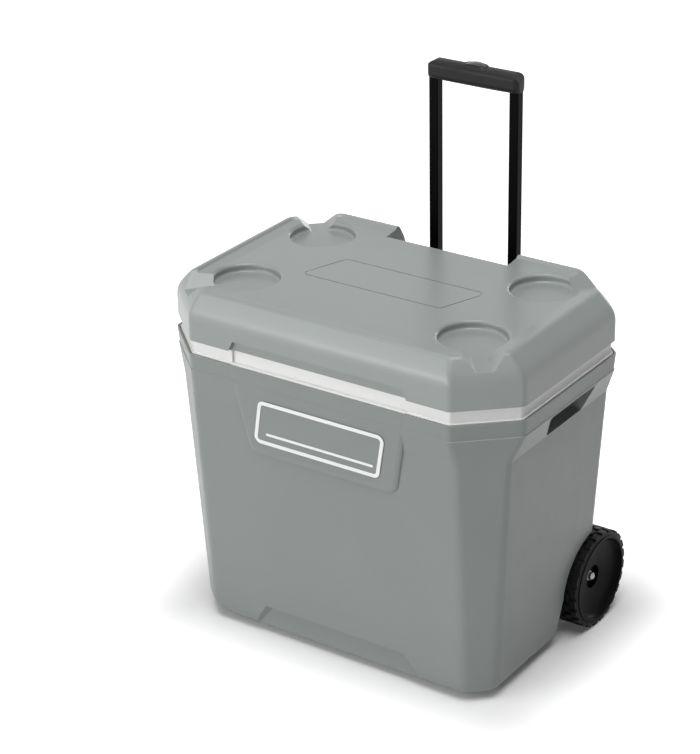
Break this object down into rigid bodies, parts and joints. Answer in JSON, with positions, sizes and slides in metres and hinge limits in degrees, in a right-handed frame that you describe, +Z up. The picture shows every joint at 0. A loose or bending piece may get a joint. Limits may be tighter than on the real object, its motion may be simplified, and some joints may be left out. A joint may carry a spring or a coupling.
{
  "type": "wheeled cooler",
  "caption": "Wheeled cooler chest with an eight-sided body, cup-holder lid, white rim band, end hand pockets and a telescoping tow handle.",
  "frame": {"origin": "middle of the footprint on the floor", "axes": "+X along the long side to the right of someone facing the front, +Y from the front to the tow handle, +Z up"},
  "size_m": [0.564, 0.4176, 0.7706],
  "materials": {
    "grey_shell": "satin",
    "white_liner": "satin",
    "white_trim": "satin",
    "foam": "matte",
    "tyre": "matte",
    "black_tube": "satin",
    "steel": "satin",
    "black_plastic": "satin",
    "rubber": "matte"
  },
  "bodies": {
    "chest": {"axle": "steel", "axle_bush_left": "black_plastic", "axle_bush_right": "black_plastic", "axle_cap_left": "steel", "axle_cap_right": "steel", "badge_frame": "white_trim", "badge_plate": "grey_shell", "body_screws": "steel", "body_shell": "grey_shell", "drain_fitting": "white_trim", "drain_gasket": "rubber", "drain_nut": "white_trim", "foam_core": "foam", "front_feet": "rubber", "guide_tube_left": "black_tube", "guide_tube_right": "black_tube", "handle_collar": "black_plastic", "handle_foot": "black_plastic", "hinge_body_leaf_left": "grey_shell", "hinge_body_leaf_right": "grey_shell", "hinge_pin_left": "steel", "hinge_pin_right": "steel", "inner_liner": "white_liner", "rim_collar": "white_trim"},
    "lid": {"hinge_lid_leaf_left": "grey_shell", "hinge_lid_leaf_right": "grey_shell", "lid_foam": "foam", "lid_hinge_screws": "steel", "lid_liner": "white_liner", "lid_shell": "grey_shell"},
    "handle": {"button_spring": "steel", "grip_lower": "black_plastic", "grip_screws": "steel", "grip_upper": "black_plastic", "inner_tube_left": "black_tube", "inner_tube_right": "black_tube", "lock_block_left": "black_plastic", "lock_block_right": "black_plastic", "lock_spring_left": "steel", "lock_spring_right": "steel"},
    "button": {"push_button": "black_plastic", "push_rod_left": "steel", "push_rod_right": "steel"},
    "lock_pin_left": {"lock_pin_left": "steel"},
    "lock_pin_right": {"lock_pin_right": "steel"},
    "wheel_left": {"wheel_left": "black_plastic", "tyre_left": "tyre"},
    "wheel_right": {"wheel_right": "black_plastic", "tyre_right": "tyre"},
    "drain_cap": {"drain_cap": "black_plastic"}
  },
  "joints": [
    {"name": "lid_hinge", "type": "hinge", "parent": "chest", "child": "lid", "pos_m": [0, 0.1704, 0.454], "axis": [-1, 0, 0], "range_deg": [0, 50]},
    {"name": "handle_slide", "type": "slide", "parent": "chest", "child": "handle", "axis": [0, 0, -1], "range_m": [0, 0.245]},
    {"name": "button_press", "type": "slide", "parent": "handle", "child": "button", "axis": [0, 0, -1], "range_m": [0, 0.005], "stiffness_N_per_m": 600, "springref_m": -0.006, "deforming": ["button_spring"]},
    {"name": "lock_pin_left_slide", "type": "slide", "parent": "handle", "child": "lock_pin_left", "axis": [0, 1, 0], "range_m": [0, 0.0025], "deforming": ["lock_spring_left"]},
    {"name": "lock_pin_right_slide", "type": "slide", "parent": "handle", "child": "lock_pin_right", "axis": [0, 1, 0], "range_m": [0, 0.0025], "deforming": ["lock_spring_right"]},
    {"name": "wheel_left_spin", "type": "hinge", "parent": "chest", "child": "wheel_left", "pos_m": [-0.212, 0.1108, 0.072], "axis": [1, 0, 0], "continuous": true},
    {"name": "wheel_right_spin", "type": "hinge", "parent": "chest", "child": "wheel_right", "pos_m": [0.212, 0.1108, 0.072], "axis": [1, 0, 0], "continuous": true},
    {"name": "drain_cap_turn", "type": "hinge", "parent": "chest", "child": "drain_cap", "pos_m": [-0.26, -0.0802, 0.062], "axis": [-1, 0, 0], "range_deg": [0, 270]}
  ],
  "couplings": [
    {"joint": "lock_pin_left_slide", "follows": "button_press", "ratio": 0.5},
    {"joint": "lock_pin_right_slide", "follows": "button_press", "ratio": 0.5}
  ]
}
